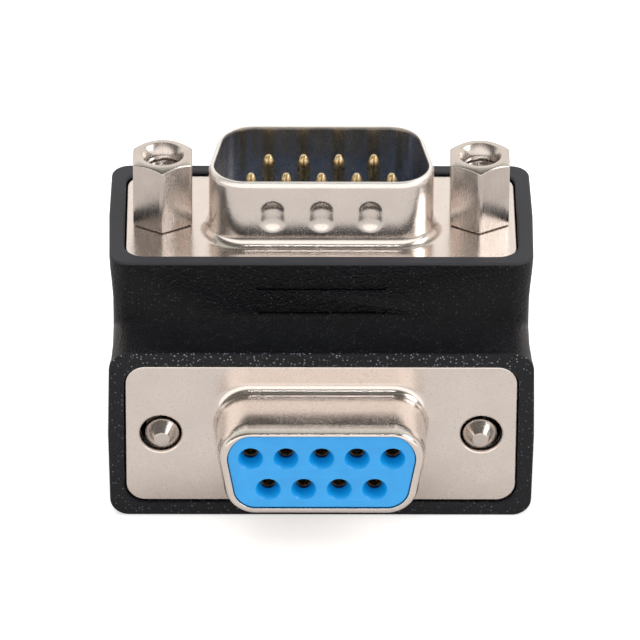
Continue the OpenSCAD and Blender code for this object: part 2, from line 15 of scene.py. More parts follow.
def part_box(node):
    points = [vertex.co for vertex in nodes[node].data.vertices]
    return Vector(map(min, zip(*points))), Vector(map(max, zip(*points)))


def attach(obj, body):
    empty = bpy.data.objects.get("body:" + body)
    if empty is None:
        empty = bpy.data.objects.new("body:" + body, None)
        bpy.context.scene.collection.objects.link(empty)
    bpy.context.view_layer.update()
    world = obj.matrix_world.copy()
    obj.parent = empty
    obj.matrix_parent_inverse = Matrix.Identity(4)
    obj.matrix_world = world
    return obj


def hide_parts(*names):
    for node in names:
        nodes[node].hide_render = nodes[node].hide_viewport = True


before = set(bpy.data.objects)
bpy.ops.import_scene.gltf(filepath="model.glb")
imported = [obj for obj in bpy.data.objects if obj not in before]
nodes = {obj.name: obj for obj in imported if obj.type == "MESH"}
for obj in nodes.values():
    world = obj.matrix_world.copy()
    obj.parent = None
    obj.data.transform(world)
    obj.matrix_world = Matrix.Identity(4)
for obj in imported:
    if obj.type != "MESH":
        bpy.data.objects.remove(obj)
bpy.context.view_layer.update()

MM = 0.001
CONTACTS = range(1, 10)

# Sheet metal
SHEET_T = 0.5 * MM
WALL_T = 0.4 * MM
ROOT_R = 0.8 * MM
PLATE_R = 1.6 * MM
PLATE_EDGE = 0.14 * MM  # rounding of the sheet's cut edge
HOLE_R = 1.6 * MM
HOLE_EDGE = 0.27 * MM  # rounding of a fixing hole's rim
HOLE_OUT = 0.1 * MM  # the holes lie this much further out than the screws
HAIR = 0.05 * MM  # width of the narrow strips that keep shading crisp beside a bend
SHELL_SLOPE = 10  # degrees
PLUG_R = 2.5 * MM
SOCKET_R = 2.2 * MM

# Insulators and contacts
BASE_T = 1.5 * MM
BASE_GROW = 0.57 * MM  # an insulator's base is this much bigger all round than the inside of its shell
FACE_GROW = -0.46 * MM  # and the socket's face this much smaller
MOUTH_LIFT = 0.38 * MM  # the socket's mouth opens this much wider on its wide side
ENTRY_R = 0.585 * MM
ENTRY_SINK_R = 0.975 * MM
ENTRY_SINK = 1.1 * MM  # depth of the countersink
ENTRY_L = 1.4 * MM  # depth where an entry widens into the hole of its contact
CONTACT_HOLE_R = 0.9 * MM
PITCH = 2.77 * MM
ROW_GAP = 2.84 * MM
WIDE_ROW = 5
CORNER_STEPS = 20
CIRCLE_STEPS = 48


# ---- where the ports are ----

def port_frames():
    """Matrices of the plug's and the socket's own frames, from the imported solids."""
    front_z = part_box("plug_front_insulator")[1].z
    rear_lo, rear_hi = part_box("socket_rear_shell")
    front_y = rear_lo.y - SHEET_T
    axis_z = (rear_lo.z + rear_hi.z) / 2
    plug = Matrix.Translation((0, 0, front_z)) @ Matrix.Rotation(math.pi, 4, "Z")
    socket = Matrix.Translation((0, front_y, axis_z)) @ Matrix.Rotation(math.pi / 2, 4, "X")
    return plug, socket


PLUG, SOCKET = port_frames()


def port_size(node, port):
    """Size of a node along a port's X and Y, and its lowest and highest Z there."""
    lo, hi = (port.inverted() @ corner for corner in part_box(node))
    return abs(hi.x - lo.x), abs(hi.y - lo.y), min(lo.z, hi.z), max(lo.z, hi.z)


def shell_inside(insulator, port, radius):
    """Inside outline of a shell, as width, height and corner radius, from the base that it holds."""
    width, height, _, _ = port_size(insulator, port)
    return width - 2 * BASE_GROW, height - 2 * BASE_GROW, radius


def screw_offset():
    lo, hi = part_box("standoff_left")
    return abs(lo.x + hi.x) / 2


def contact_place(i):
    """Place of a contact in its port's frame. Contact 1 is at +X on the socket and at -X on the plug."""
    wide = i <= WIDE_ROW
    middle = (WIDE_ROW + 1) / 2 if wide else (WIDE_ROW + 1 + len(CONTACTS)) / 2
    return Vector(((middle - i) * PITCH, ROW_GAP / 2 if wide else -ROW_GAP / 2, 0))


# ---- camera and light ----

def add_camera():
    target = Vector((-0.14, -12.45, 18.1)) * MM
    azimuth, elevation, roll = (math.radians(a) for a in (0.525, 32.19, 0.362))
    distance = 600 * MM
    level = math.cos(elevation)
    ahead = Vector((math.sin(azimuth) * level, math.cos(azimuth) * level, -math.sin(elevation)))
    right = Vector((math.cos(azimuth), -math.sin(azimuth), 0))
    up = right.cross(ahead)
    across = math.cos(roll) * right + math.sin(roll) * up
    above = math.cos(roll) * up - math.sin(roll) * right
    data = bpy.data.cameras.new("camera")
    data.lens = 433.4
    data.sensor_width = 36
    data.clip_start = 0.05
    data.clip_end = 20
    camera = bpy.data.objects.new("camera", data)
    bpy.context.scene.collection.objects.link(camera)
    turn = Matrix((across, above, -ahead)).transposed().to_4x4()
    camera.matrix_world = Matrix.Translation(target - distance * ahead) @ turn
    bpy.context.scene.camera = camera


def add_area_light(name, where, size, radiance, size_y=None, in_mirrors=True):
    """A soft lamp that faces the object. Radiance is what a mirror would show of it."""
    data = bpy.data.lights.new(name, "AREA")
    data.shape = "RECTANGLE"
    data.size = size
    data.size_y = size_y or size
    data.energy = radiance * math.pi * data.size * data.size_y
    lamp = bpy.data.objects.new(name, data)
    bpy.context.scene.collection.objects.link(lamp)
    lamp.location = where
    lamp.rotation_mode = "QUATERNION"
    middle = Vector((0, 0, 0.01))
    lamp.rotation_quaternion = (middle - lamp.location).to_track_quat("-Z", "Y")
    lamp.visible_glossy = in_mirrors


class Graph:
    """Short calls for building a node tree."""

    def __init__(self, tree):
        self.tree = tree
        tree.nodes.clear()

    def node(self, kind, values=None, **settings):
        made = self.tree.nodes.new(kind)
        for key, value in settings.items():
            setattr(made, key, value)
        for key, value in (values or {}).items():
            if isinstance(value, bpy.types.NodeSocket):
                self.tree.links.new(value, made.inputs[key])
            else:
                made.inputs[key].default_value = value
        return made

    def math(self, kind, a, b=0.0, clamp=False):
        return self.node("ShaderNodeMath", {0: a, 1: b}, operation=kind, use_clamp=clamp).outputs[0]

    def noise(self, where, size, detail=2.0, roughness=0.5):
        """Noise whose blobs are about size metres across."""
        values = {"Vector": where, "Scale": 1 / size, "Detail": detail, "Roughness": roughness}
        return self.node("ShaderNodeTexNoise", values).outputs["Fac"]

    def axes(self, where):
        """X, Y and Z of a vector."""
        return self.node("ShaderNodeSeparateXYZ", {0: where}).outputs

    def span(self, value, low, high, to_low=0.0, to_high=1.0):
        """Maps low..high to to_low..to_high and stays within it."""
        values = {"Value": value, "From Min": low, "From Max": high, "To Min": to_low, "To Max": to_high}
        return self.node("ShaderNodeMapRange", values).outputs[0]

    def ramp(self, value, stops):
        """Colour by value, through (place, colour) stops."""
        made = self.node("ShaderNodeValToRGB", {0: value})
        elements = made.color_ramp.elements
        for k, (place, colour) in enumerate(stops):
            stop = elements[k] if k < 2 else elements.new(place)
            stop.position = place
            stop.color = (*colour, 1)
        return made.outputs[0]

    def mix(self, factor, a, b):
        """Mixes two colours, through the colour sockets of a mix node: inputs 6 and 7, and output 2."""
        made = self.node("ShaderNodeMix", {"Factor": factor}, data_type="RGBA")
        for socket, value in ((made.inputs[6], a), (made.inputs[7], b)):
            if isinstance(value, bpy.types.NodeSocket):
                self.tree.links.new(value, socket)
            else:
                socket.default_value = (*value, 1)
        return made.outputs[2]


# What polished metal sees of the room, by angle: 0 is level in front, 90 straight up, 180 level at the back.
ROOM = (
    (0, (1.3, 1.25, 1.2)),
    (24, (1.45, 1.38, 1.33)),
    (35, (1.5, 1.42, 1.36)),
    (42, (0.22, 0.21, 0.19)),
    (52, (0.12, 0.11, 0.1)),
    (86, (0.16, 0.15, 0.14)),
    (97, (0.56, 0.58, 0.53)),
    (122, (0.66, 0.67, 0.61)),
    (131, (1.04, 0.985, 0.935)),
    (180, (1.08, 1.02, 0.965)),
)
ROOM_TOP = 1.5


def set_world():
    """White where the camera looks, a studio for polished metal, and an even light for everything else."""
    world = bpy.data.worlds.new("world")
    world.use_nodes = True
    bpy.context.scene.world = world
    g = Graph(world.node_tree)
    path = g.node("ShaderNodeLightPath").outputs
    way = g.node("ShaderNodeTexCoord").outputs["Generated"]
    axes = g.axes(way)
    to_front = g.math("MULTIPLY", axes[1], -1.0)
    angle = g.math("DIVIDE", g.math("ARCTAN2", axes[2], to_front), math.pi)
    stops = [(a / 180, tuple(c / ROOM_TOP for c in colour)) for a, colour in ROOM]
    room_colour = g.ramp(angle, stops)
    front_share = g.span(to_front, -0.5, 0.9, 0.42, 1.02)
    seen = g.math("ADD", path["Is Camera Ray"], path["Is Transmission Ray"], clamp=True)
    fill = g.node("ShaderNodeBackground", {"Color": (1, 0.985, 0.97, 1), "Strength": front_share})
    room = g.node("ShaderNodeBackground", {"Color": room_colour, "Strength": ROOM_TOP})
    white = g.node("ShaderNodeBackground", {"Color": (1, 1, 1, 1), "Strength": 1.0})
    shades = {0: path["Is Glossy Ray"], 1: fill.outputs[0], 2: room.outputs[0]}
    mirrors = g.node("ShaderNodeMixShader", shades)
    final = g.node("ShaderNodeMixShader", {0: seen, 1: mirrors.outputs[0], 2: white.outputs[0]})
    g.node("ShaderNodeOutputWorld", {"Surface": final.outputs[0]})


def add_floor():
    """A white table that keeps the object's shadow."""
    half = 2.0
    corners = [(-half, -half, 0), (half, -half, 0), (half, half, 0), (-half, half, 0)]
    mesh = bpy.data.meshes.new("floor")
    mesh.from_pydata(corners, [], [(0, 1, 2, 3)])
    floor = bpy.data.objects.new("floor", mesh)
    bpy.context.scene.collection.objects.link(floor)
    floor.location.z = -0.02 * MM
    material = bpy.data.materials.new("floor_white")
    material.use_nodes = True
    g = Graph(material.node_tree)
    path = g.node("ShaderNodeLightPath").outputs
    seen = g.math("ADD", path["Is Camera Ray"], path["Is Transmission Ray"], clamp=True)
    tone = g.mix(path["Is Glossy Ray"], (0.8, 0.79, 0.78), (0.66, 0.63, 0.605))
    paper = g.node("ShaderNodeBsdfDiffuse", {"Color": tone})
    glow = g.node("ShaderNodeEmission", {"Color": (1, 1, 1, 1), "Strength": g.math("MULTIPLY", seen, 0.55)})
    both = g.node("ShaderNodeAddShader", {0: paper.outputs[0], 1: glow.outputs[0]})
    g.node("ShaderNodeOutputMaterial", {"Surface": both.outputs[0]})
    mesh.materials.append(material)


bpy.context.scene.view_settings.view_transform = "Standard"
add_camera()
set_world()
add_floor()
add_area_light("softbox_top", (-0.12, 0.05, 0.62), 0.42, 3.0, in_mirrors=False)
add_area_light("softbox_right", (0.6, -0.12, 0.48), 0.4, 3.5)
add_area_light("spot_front", (0.03, -0.48, 0.76), 0.12, 9.0, size_y=0.05)


# ---- materials ----

def new_material(name):
    material = bpy.data.materials.new(name)
    material.use_nodes = True
    return material, Graph(material.node_tree)


def finish_material(g, base, roughness, height, step, metallic=0.0, specular=0.5):
    """Joins a principled shader to the output. step is how far the bumps stand out."""
    bump = g.node("ShaderNodeBump", {"Height": height, "Strength": 1.0, "Distance": step})
    values = {"Base Color": base, "Roughness": roughness, "Metallic": metallic}
    values |= {"Specular IOR Level": specular, "Normal": bump.outputs[0]}
    shader = g.node("ShaderNodeBsdfPrincipled", values)
    g.node("ShaderNodeOutputMaterial", {"Surface": shader.outputs[0]})


def nickel_sheet(name, bright, dark, rough):
    """Nickel-plated drawn steel: satin, with a fine speckle from the sheet and a slow drift in tone. The plug
    shell's cut rim is rougher, and painted nearly white as a painted highlight.
    """
    material, g = new_material(name)
    where = g.node("ShaderNodeTexCoord").outputs["Object"]
    drift = g.noise(where, 2.5 * MM, 3)
    speckle = g.noise(where, 0.085 * MM, 2, 0.6)
    pits = g.span(g.noise(where, 0.2 * MM, 1), 0.64, 0.78)
    tone = g.mix(g.span(drift, 0.3, 0.7), dark, bright)
    base = g.mix(g.math("MULTIPLY", pits, 0.35), tone, tuple(0.55 * c for c in dark))
    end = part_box("plug_front_shell")[1].z
    # The top of the plug shell's rim: rougher as a cut edge, and painted paler as a painted highlight.
    cut_rim_and_painted_highlight = g.span(g.axes(where)[2], end - 0.3 * MM, end - 0.18 * MM)
    sheet_with_painted_rim_highlight = g.mix(cut_rim_and_painted_highlight, base, (0.96, 0.93, 0.9))
    drifting = g.span(drift, 0.3, 0.7, rough * 0.85, rough * 1.15)
    rough_drift = g.math("ADD", drifting, g.math("MULTIPLY", cut_rim_and_painted_highlight, 0.22))
    roughness = g.math("ADD", rough_drift, g.span(speckle, 0.35, 0.65, -0.05, 0.08))
    waves = g.math("MULTIPLY", g.noise(where, 1.8 * MM, 1), 1.5)
    height = g.math("ADD", speckle, waves)
    finish_material(g, sheet_with_painted_rim_highlight, roughness, height, 0.0028 * MM, metallic=1.0)
    return material


def turned_nickel(name, bright, dark, rough):
    """Nickel-plated turned brass: slanting lines from its finishing, a little handling wear."""
    material, g = new_material(name)
    where = g.node("ShaderNodeTexCoord").outputs["Object"]
    drift = g.noise(where, 1.6 * MM, 3)
    speckle = g.noise(where, 0.08 * MM, 2)
    slant = {"Vector": where, "Rotation": (0.5, 0.9, 0.3), "Scale": (12, 1, 1)}
    scratches = g.node("ShaderNodeMapping", slant).outputs[0]
    lines = g.noise(scratches, 0.9 * MM, 3, 0.7)
    base = g.mix(g.span(drift, 0.3, 0.7), dark, bright)
    roughness = g.span(lines, 0.3, 0.7, rough * 0.75, rough * 1.35)
    height = g.math("ADD", speckle, g.math("MULTIPLY", lines, 2.5))
    finish_material(g, base, roughness, height, 0.0018 * MM, metallic=1.0)
    return material


def black_vinyl(name):
    """Injection-moulded black vinyl with a spark-eroded grain, smooth on the rim round the plug's plate. As
    painted light, the rim and the front face of the socket's head are given lighter tones, and painted glints
    dot the body, most on that front face and along the top edge of the socket's plate.
    """
    material, g = new_material(name)
    where = g.node("ShaderNodeTexCoord").outputs["Object"]
    axes = g.axes(where)
    lo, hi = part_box("overmold")
    on_rim = g.span(axes[2], hi.z - 0.22 * MM, hi.z - 0.1 * MM)
    on_front = g.span(axes[1], lo.y + 0.4 * MM, lo.y + 0.25 * MM)
    cells = {"Vector": where, "Scale": 1 / (0.16 * MM), "Randomness": 1.0}
    grit = g.node("ShaderNodeTexVoronoi", cells, feature="SMOOTH_F1").outputs["Distance"]
    crumbs = g.noise(where, 0.1 * MM, 3, 0.6)
    height = g.math("SUBTRACT", crumbs, grit)
    sheen = g.noise(where, 3 * MM, 2)
    grain = g.math("MULTIPLY", height, g.span(on_rim, 0, 1, 1.0, 0.06))
    # Painted glints: pale spots over the body, stronger on the front face, thickest along the top edge of the
    # socket's plate, faint on the rim.
    dots = {"Vector": where, "Scale": 1 / (0.26 * MM), "Randomness": 1.0}
    spots = g.node("ShaderNodeTexVoronoi", dots).outputs
    bright_spot = g.span(spots["Distance"], 0.3, 0.18)
    plate_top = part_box("socket_front_shell")[1].z
    at_edge = g.math("MULTIPLY", on_front, g.span(axes[2], plate_top - 0.2 * MM, plate_top + 0.4 * MM))
    lottery = g.axes(spots["Color"])[0]
    chosen = g.span(g.math("ADD", g.math("MULTIPLY", at_edge, 0.35), lottery), 0.45, 0.85)
    on_face = g.math("ADD", g.span(on_front, 0, 1, 0.5, 1.3), g.math("MULTIPLY", at_edge, 1.6))
    strength = g.math("MULTIPLY", g.span(on_rim, 0, 1, 1, 0.1), on_face)
    painted_glints = g.math("MULTIPLY", g.math("MULTIPLY", bright_spot, chosen), strength)
    face = g.mix(g.span(sheen, 0.35, 0.65), (0.0004, 0.0007, 0.0022), (0.001, 0.0014, 0.0034))
    # Painted light: the front face of the socket's head is given a lighter tone than the rest of the body.
    front = g.mix(on_front, face, (0.0075, 0.0082, 0.0115))
    tone_with_painted_glints = g.mix(g.math("MULTIPLY", painted_glints, 0.3, clamp=True), front, (0.3, 0.305, 0.34))
    # Painted light: the top rim round the plug's plate is given a lighter grey, as if lit from above; its
    # smoother finish is its own.
    tone = g.mix(on_rim, tone_with_painted_glints, (0.032, 0.033, 0.039))
    roughness = g.span(on_rim, 0, 1, 0.28, 0.5)
    finish_material(g, tone, roughness, grain, 0.09 * MM, specular=0.26)
    return material


def plain_plastic(name, deep, pale, rough):
    """Moulded nylon or polyester: slight mottling and a fine grain."""
    material, g = new_material(name)
    where = g.node("ShaderNodeTexCoord").outputs["Object"]
    cloud = g.noise(where, 1.5 * MM, 3)
    fine = g.noise(where, 0.12 * MM, 2)
    base = g.mix(g.span(cloud, 0.3, 0.7), deep, pale)
    roughness = g.span(fine, 0.3, 0.7, rough * 0.85, rough * 1.15)
    finish_material(g, base, roughness, g.math("ADD", fine, cloud), 0.003 * MM)
    return material


def blue_polyester(name):
    """Bright blue moulding: glossy on its face, a little deeper in tone inside the countersunk entries, and
    dark navy further in as painted shade in the bores.
    """
    material, g = new_material(name)
    where = g.node("ShaderNodeTexCoord").outputs["Object"]
    cloud = g.noise(where, 1.5 * MM, 3)
    fine = g.noise(where, 0.12 * MM, 2)
    face_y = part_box("socket_front_insulator")[0].y
    behind_face = g.math("SUBTRACT", g.axes(where)[1], face_y)
    face = g.mix(g.span(cloud, 0.3, 0.7), (0.002, 0.36, 0.87), (0.006, 0.4, 0.93))
    sunk = g.mix(g.span(behind_face, 0.03 * MM, 0.08 * MM), face, (0.0, 0.39, 0.88))
    # Painted shade: the bores beyond the countersinks are painted dark navy.
    in_bore = g.span(behind_face, ENTRY_SINK - 0.05 * MM, ENTRY_SINK + 0.02 * MM)
    base = g.mix(in_bore, sunk, (0.0, 0.02, 0.1))
    roughness = g.span(fine, 0.3, 0.7, 0.29, 0.39)
    finish_material(g, base, roughness, g.math("ADD", fine, cloud), 0.003 * MM, specular=1.0)
    return material


def gold_flash(name):
    """Thin gold over nickel, rubbed paler in places."""
    material, g = new_material(name)
    where = g.node("ShaderNodeTexCoord").outputs["Object"]
    rub = g.noise(where, 0.35 * MM, 3, 0.6)
    base = g.mix(g.span(rub, 0.35, 0.7), (0.7, 0.53, 0.27), (0.84, 0.74, 0.53))
    roughness = g.span(rub, 0.3, 0.7, 0.2, 0.36)
    finish_material(g, base, roughness, g.noise(where, 0.05 * MM, 2), 0.0008 * MM, metallic=1.0)
    return material


# How each of the record's material slots is made, and with what.
FINISHES = {
    "black_pvc": (black_vinyl,),
    "inner_resin": (plain_plastic, (0.6, 0.58, 0.5), (0.7, 0.68, 0.6), 0.45),
    "nickel_shell": (nickel_sheet, (0.84, 0.775, 0.73), (0.79, 0.725, 0.68), 0.2),
    "tin_shell": (nickel_sheet, (0.74, 0.72, 0.69), (0.66, 0.64, 0.61), 0.34),
    "blue_insulator": (blue_polyester,),
    "black_insulator": (plain_plastic, (0.007, 0.036, 0.092), (0.012, 0.052, 0.125), 0.3),
    "gold_contact": (gold_flash,),
    "wire_sleeve": (plain_plastic, (0.3, 0.01, 0.01), (0.4, 0.02, 0.015), 0.4),
    "nickel_turned": (turned_nickel, (0.7, 0.64, 0.6), (0.62, 0.56, 0.52), 0.24),
    "zinc_nut": (turned_nickel, (0.72, 0.70, 0.64), (0.6, 0.58, 0.5), 0.3),
    "spring_steel": (turned_nickel, (0.5, 0.5, 0.5), (0.4, 0.4, 0.4), 0.25),
}
MATERIALS = {slot: make(slot, *values) for slot, (make, *values) in FINISHES.items()}


def dress_cad_nodes():
    for obj in nodes.values():
        for slot in obj.material_slots:
            slot.material = MATERIALS[slot.material.name.split(".")[0]]


dress_cad_nodes()


# ---- mesh helpers ----

def ring(bm, points):
    return [bm.verts.new(p) for p in points]


def strip(bm, a, b):
    """Faces between two closed rings of as many points."""
    for k in range(len(a)):
        after = (k + 1) % len(a)
        bm.faces.new((a[k], a[after], b[after], b[k]))


def lathe(bm, rings):
    """Faces between each ring and the next."""
    for a, b in zip(rings, rings[1:]):
        strip(bm, a, b)


def plane_face(bm, loops):
    """Fills the flat region inside the first loop and outside the others."""
    verts = [v for loop in loops for v in loop]
    outlines = [[Vector((v.co.x, v.co.y, 0)) for v in loop] for loop in loops]
    for triangle in tessellate_polygon(outlines):
        bm.faces.new([verts[k] for k in triangle])


def round_point(axis, radius, angle, height):
    """A point at a radius and angle round an upright axis."""
    return Vector((axis.x + radius * math.cos(angle), axis.y + radius * math.sin(angle), height))


def circle(centre, radius, height, steps=CIRCLE_STEPS):
    return [round_point(centre, radius, 2 * math.pi * k / steps, height) for k in range(steps)]


def arc(centre_x, centre_y, radius, start, end, steps):
    """(x, y) points of an arc. Angles are in degrees."""
    angles = (math.radians(start + (end - start) * k / steps) for k in range(steps + 1))
    return [(centre_x + radius * math.cos(a), centre_y + radius * math.sin(a)) for a in angles]


def make_piece(name, bm, port, body, slot, *stands_for, crease=40):
    """Turns a bmesh into a piece that stands for CAD nodes and rides on their body."""
    bmesh.ops.recalc_face_normals(bm, faces=bm.faces)
    if port is not None:
        bmesh.ops.transform(bm, matrix=port, verts=bm.verts)
    mesh = bpy.data.meshes.new(name)
    bm.to_mesh(mesh)
    bm.free()
    mesh.polygons.foreach_set("use_smooth", [True] * len(mesh.polygons))
    mesh.set_sharp_from_angle(angle=math.radians(crease))
    mesh.materials.append(MATERIALS[slot])
    piece = bpy.data.objects.new(name, mesh)
    bpy.context.scene.collection.objects.link(piece)
    flat_faces_first = piece.modifiers.new("normals", "WEIGHTED_NORMAL")
    flat_faces_first.keep_sharp = True
    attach(piece, body)
    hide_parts(*stands_for)


def clip_above(bm, height):
    """Takes away what lies above that height, and leaves it open there."""
    everything = bm.verts[:] + bm.edges[:] + bm.faces[:]
    upwards = (0, 0, 1)
    bmesh.ops.bisect_plane(bm, geom=everything, plane_co=(0, 0, height), plane_no=upwards, clear_outer=True)


def close_openings(bm):
    bmesh.ops.holes_fill(bm, edges=[e for e in bm.edges if e.is_boundary], sides=0)


def round_edges(bm, edges, width, segments):
    bmesh.ops.bevel(
        bm, geom=edges, offset=width, segments=segments, profile=0.5, affect="EDGES", clamp_overlap=True
    )


def welded_copy(node):
    """A bmesh of a CAD node's own shape, with its split vertices joined and its flat faces whole."""
    bm = bmesh.new()
    bm.from_mesh(nodes[node].data)
    bmesh.ops.remove_doubles(bm, verts=bm.verts, dist=0.0005 * MM)
    bmesh.ops.dissolve_limit(bm, angle_limit=math.radians(0.3), verts=bm.verts, edges=bm.edges)
    return bm


# ---- outlines ----

def d_points(d, grow, height, top_steps=1, lift=0):
    """Points round a D outline, grown by that much.

    top_steps divides its wide side, and lift raises it.
    """
    width, tall, radius = d
    top = width / 2 - radius
    up = tall / 2 - radius
    low = top - 2 * up * math.tan(math.radians(SHELL_SLOPE))
    centres = ((-top, up), (top, up), (low, -up), (-low, -up))
    turns = (180 + SHELL_SLOPE, 90, -SHELL_SLOPE, -90, SHELL_SLOPE - 180)
    reach = up + radius + grow
    points = []
    for k, (x, y) in enumerate(centres):
        points += arc(x, y, radius + grow, turns[k], turns[k + 1], CORNER_STEPS)
        if k == 0:
            points += [(2 * top * s / top_steps - top, reach) for s in range(1, top_steps)]
    return [Vector((x, y + lift * max(0, y / reach) ** 3, height)) for x, y in points]


def plate_points(width, tall, inset, height):
    """Points round a flange plate's outline, moved in by inset."""
    x = width / 2 - PLATE_R
    y = tall / 2 - PLATE_R
    points = []
    for k, (sx, sy) in enumerate(((1, 1), (-1, 1), (-1, -1), (1, -1))):
        points += arc(sx * x, sy * y, PLATE_R - inset, 90 * k, 90 * k + 90, steps=12)
    return [Vector((px, py, height)) for px, py in points]


# ---- shells ----

def flange(bm, node, port, front_ring, back_ring):
    """The flange plate of a front shell, between the two rings where its drawn wall starts."""
    width, tall, _, _ = port_size(node, port)
    offset = screw_offset()
    edge = [(PLATE_EDGE + HAIR, 0)]
    edge += arc(PLATE_EDGE, -PLATE_EDGE, PLATE_EDGE, 90, 180, 3)
    edge += [(0, HAIR - SHEET_T), (HAIR, -SHEET_T), (2 * HAIR, -SHEET_T)]
    outer = [ring(bm, plate_points(width, tall, inset, z)) for inset, z in edge]
    lathe(bm, outer)
    front_loops = [outer[0], front_ring]
    back_loops = [outer[-1], back_ring]
    for side in (-1, 1):
        centre = Vector((side * (offset + HOLE_OUT), 0, 0))
        profile = [(HOLE_R + HOLE_EDGE + HAIR, 0)]
        profile += arc(HOLE_R + HOLE_EDGE, -HOLE_EDGE, HOLE_EDGE, 90, 180, 6)
        profile += [(HOLE_R, -SHEET_T)]
        rings = [ring(bm, circle(centre, r, z)) for r, z in profile]
        lathe(bm, rings)
        front_loops.append(rings[0])
        back_loops.append(rings[-1])
    plane_face(bm, front_loops)
    plane_face(bm, back_loops)


def root_profile():
    """Outside of a drawn wall where it leaves its flange, from the flange up."""
    foot = [(WALL_T + ROOT_R + HAIR, 0)]
    return foot + arc(WALL_T + ROOT_R, ROOT_R, ROOT_R, 270, 180, 10)


def inside_root_profile():
    """Inside of a drawn wall, round the bend into the back of the flange."""
    return arc(SHEET_T, 0, SHEET_T, 180, 270, 6) + [(SHEET_T + HAIR, -SHEET_T)]


def sweep_shell(bm, d, profile, top_steps=1, press=None, lift=None):
    """Sweeps (offset, height) points round a D outline.

    press gives how deep a place on the wide side is dimpled, and lift how far a ring's wide side is raised.
    """
    rings = []
    for grow, height in profile:
        points = d_points(d, grow, height, top_steps, lift(grow, height) if lift else 0)
        if press:
            for p in points:
                if p.y > 0:
                    p.y -= press(p.x, p.z)
        rings.append(ring(bm, points))
    lathe(bm, rings)
    return rings


DIMPLE_PITCH = 3.83 * MM
DIMPLE_R = 0.94 * MM
DIMPLE_RUN = 0.7 * MM  # straight stretch of a dimple
DIMPLE_DEPTH = 0.3 * MM
DIMPLE_UP = 2.75 * MM
LEAD_IN = 0.45 * MM
# How far the lead-in leans inwards, and at what depth below the shell's end, in mm.
LEAD_IN_POINTS = ((0.035, 0.34), (0.15, 0.09), (0.19, 0.035), (0.24, 0.005))


def dimple_depth(x, z):
    """How far the wide wall is pressed in at a place on it."""
    across = min(abs(x - k * DIMPLE_PITCH) for k in (-1, 0, 1))
    away = math.hypot(across, max(0, abs(z - DIMPLE_UP) - DIMPLE_RUN / 2))
    ball = (DIMPLE_R ** 2 + DIMPLE_DEPTH ** 2) / (2 * DIMPLE_DEPTH)
    deep = math.sqrt(max(0, ball ** 2 - away ** 2)) - (ball - DIMPLE_DEPTH)
    soft = 0.07 * MM
    return (deep + math.hypot(deep, soft)) / 2


def plug_shell():
    bm = bmesh.new()
    d = shell_inside("plug_front_insulator", PLUG, PLUG_R)
    length = port_size("plug_front_shell", PLUG)[3]
    inner_r = 0.05 * MM
    steps = 30
    levels = [ROOT_R + (length - LEAD_IN - ROOT_R) * (k + 1) / steps for k in range(steps)]
    profile = root_profile()
    profile += [(WALL_T, z) for z in levels]
    profile += [(WALL_T - inwards * MM, length - down * MM) for inwards, down in LEAD_IN_POINTS]
    profile += arc(inner_r, length - inner_r, inner_r, 90, 180, 4)
    profile += [(0, z) for z in reversed(levels)]
    profile += inside_root_profile()
    rings = sweep_shell(bm, d, profile, top_steps=110, press=dimple_depth)
    flange(bm, "plug_front_shell", PLUG, rings[0], rings[-1])
    make_piece("plug_shell", bm, PLUG, "adapter", "nickel_shell", "plug_front_shell")


# Bends of the socket shell's front, as the wall's lean in degrees where each starts and ends, and its length.
NOSE_BENDS = ((0, 25, 1.06 * MM), (25, 56, 0.29 * MM), (56, 90, 0.36 * MM))
# Its inside, as (offset, depth behind the shell's end).
NOSE_INSIDE = ((-0.12 * MM, 0.6 * MM), (-0.03 * MM, 1.0 * MM), (0, 1.4 * MM))


def nose_profile(length):
    """Outside of the socket shell's front: the wall leans in more and more, then turns in flat."""
    steps = 8
    x, z = WALL_T, 0.0
    points = [(x, z)]
    for start, end, run in NOSE_BENDS:
        for k in range(steps):
            tilt = math.radians(start + (end - start) * (k + 0.5) / steps)
            x -= run / steps * math.sin(tilt)
            z += run / steps * math.cos(tilt)
            points.append((x, z))
    return [(px, pz + length - z) for px, pz in points]


def socket_shell():
    bm = bmesh.new()
    d = shell_inside("socket_front_insulator", SOCKET, SOCKET_R)
    length = port_size("socket_front_shell", SOCKET)[3]
    lip_t = 0.3 * MM
    lip_r = 0.05 * MM
    profile = root_profile()
    profile += nose_profile(length)
    end_x = profile[-1][0]
    profile += arc(end_x, length - lip_r, lip_r, 90, 180, 3)[1:]
    profile += [(end_x - lip_r, length - lip_t), (end_x + lip_r, length - lip_t - 0.06 * MM)]
    profile += [(grow, length - down) for grow, down in NOSE_INSIDE]
    profile += inside_root_profile()
    turned_in = WALL_T - end_x
    lift_start = length - 1.5 * MM
    lift_run = 0.9 * MM

    def lift(grow, height):
        """The mouth opens wider on the wide side, where its lip is narrow."""
        near_end = min(1, max(0, (height - lift_start) / lift_run))
        return MOUTH_LIFT * near_end * min(1, (WALL_T - grow) / turned_in)

    rings = sweep_shell(bm, d, profile, lift=lift)
    flange(bm, "socket_front_shell", SOCKET, rings[0], rings[-1])
    make_piece("socket_shell", bm, SOCKET, "adapter", "nickel_shell", "socket_front_shell")


# ---- insulators ----

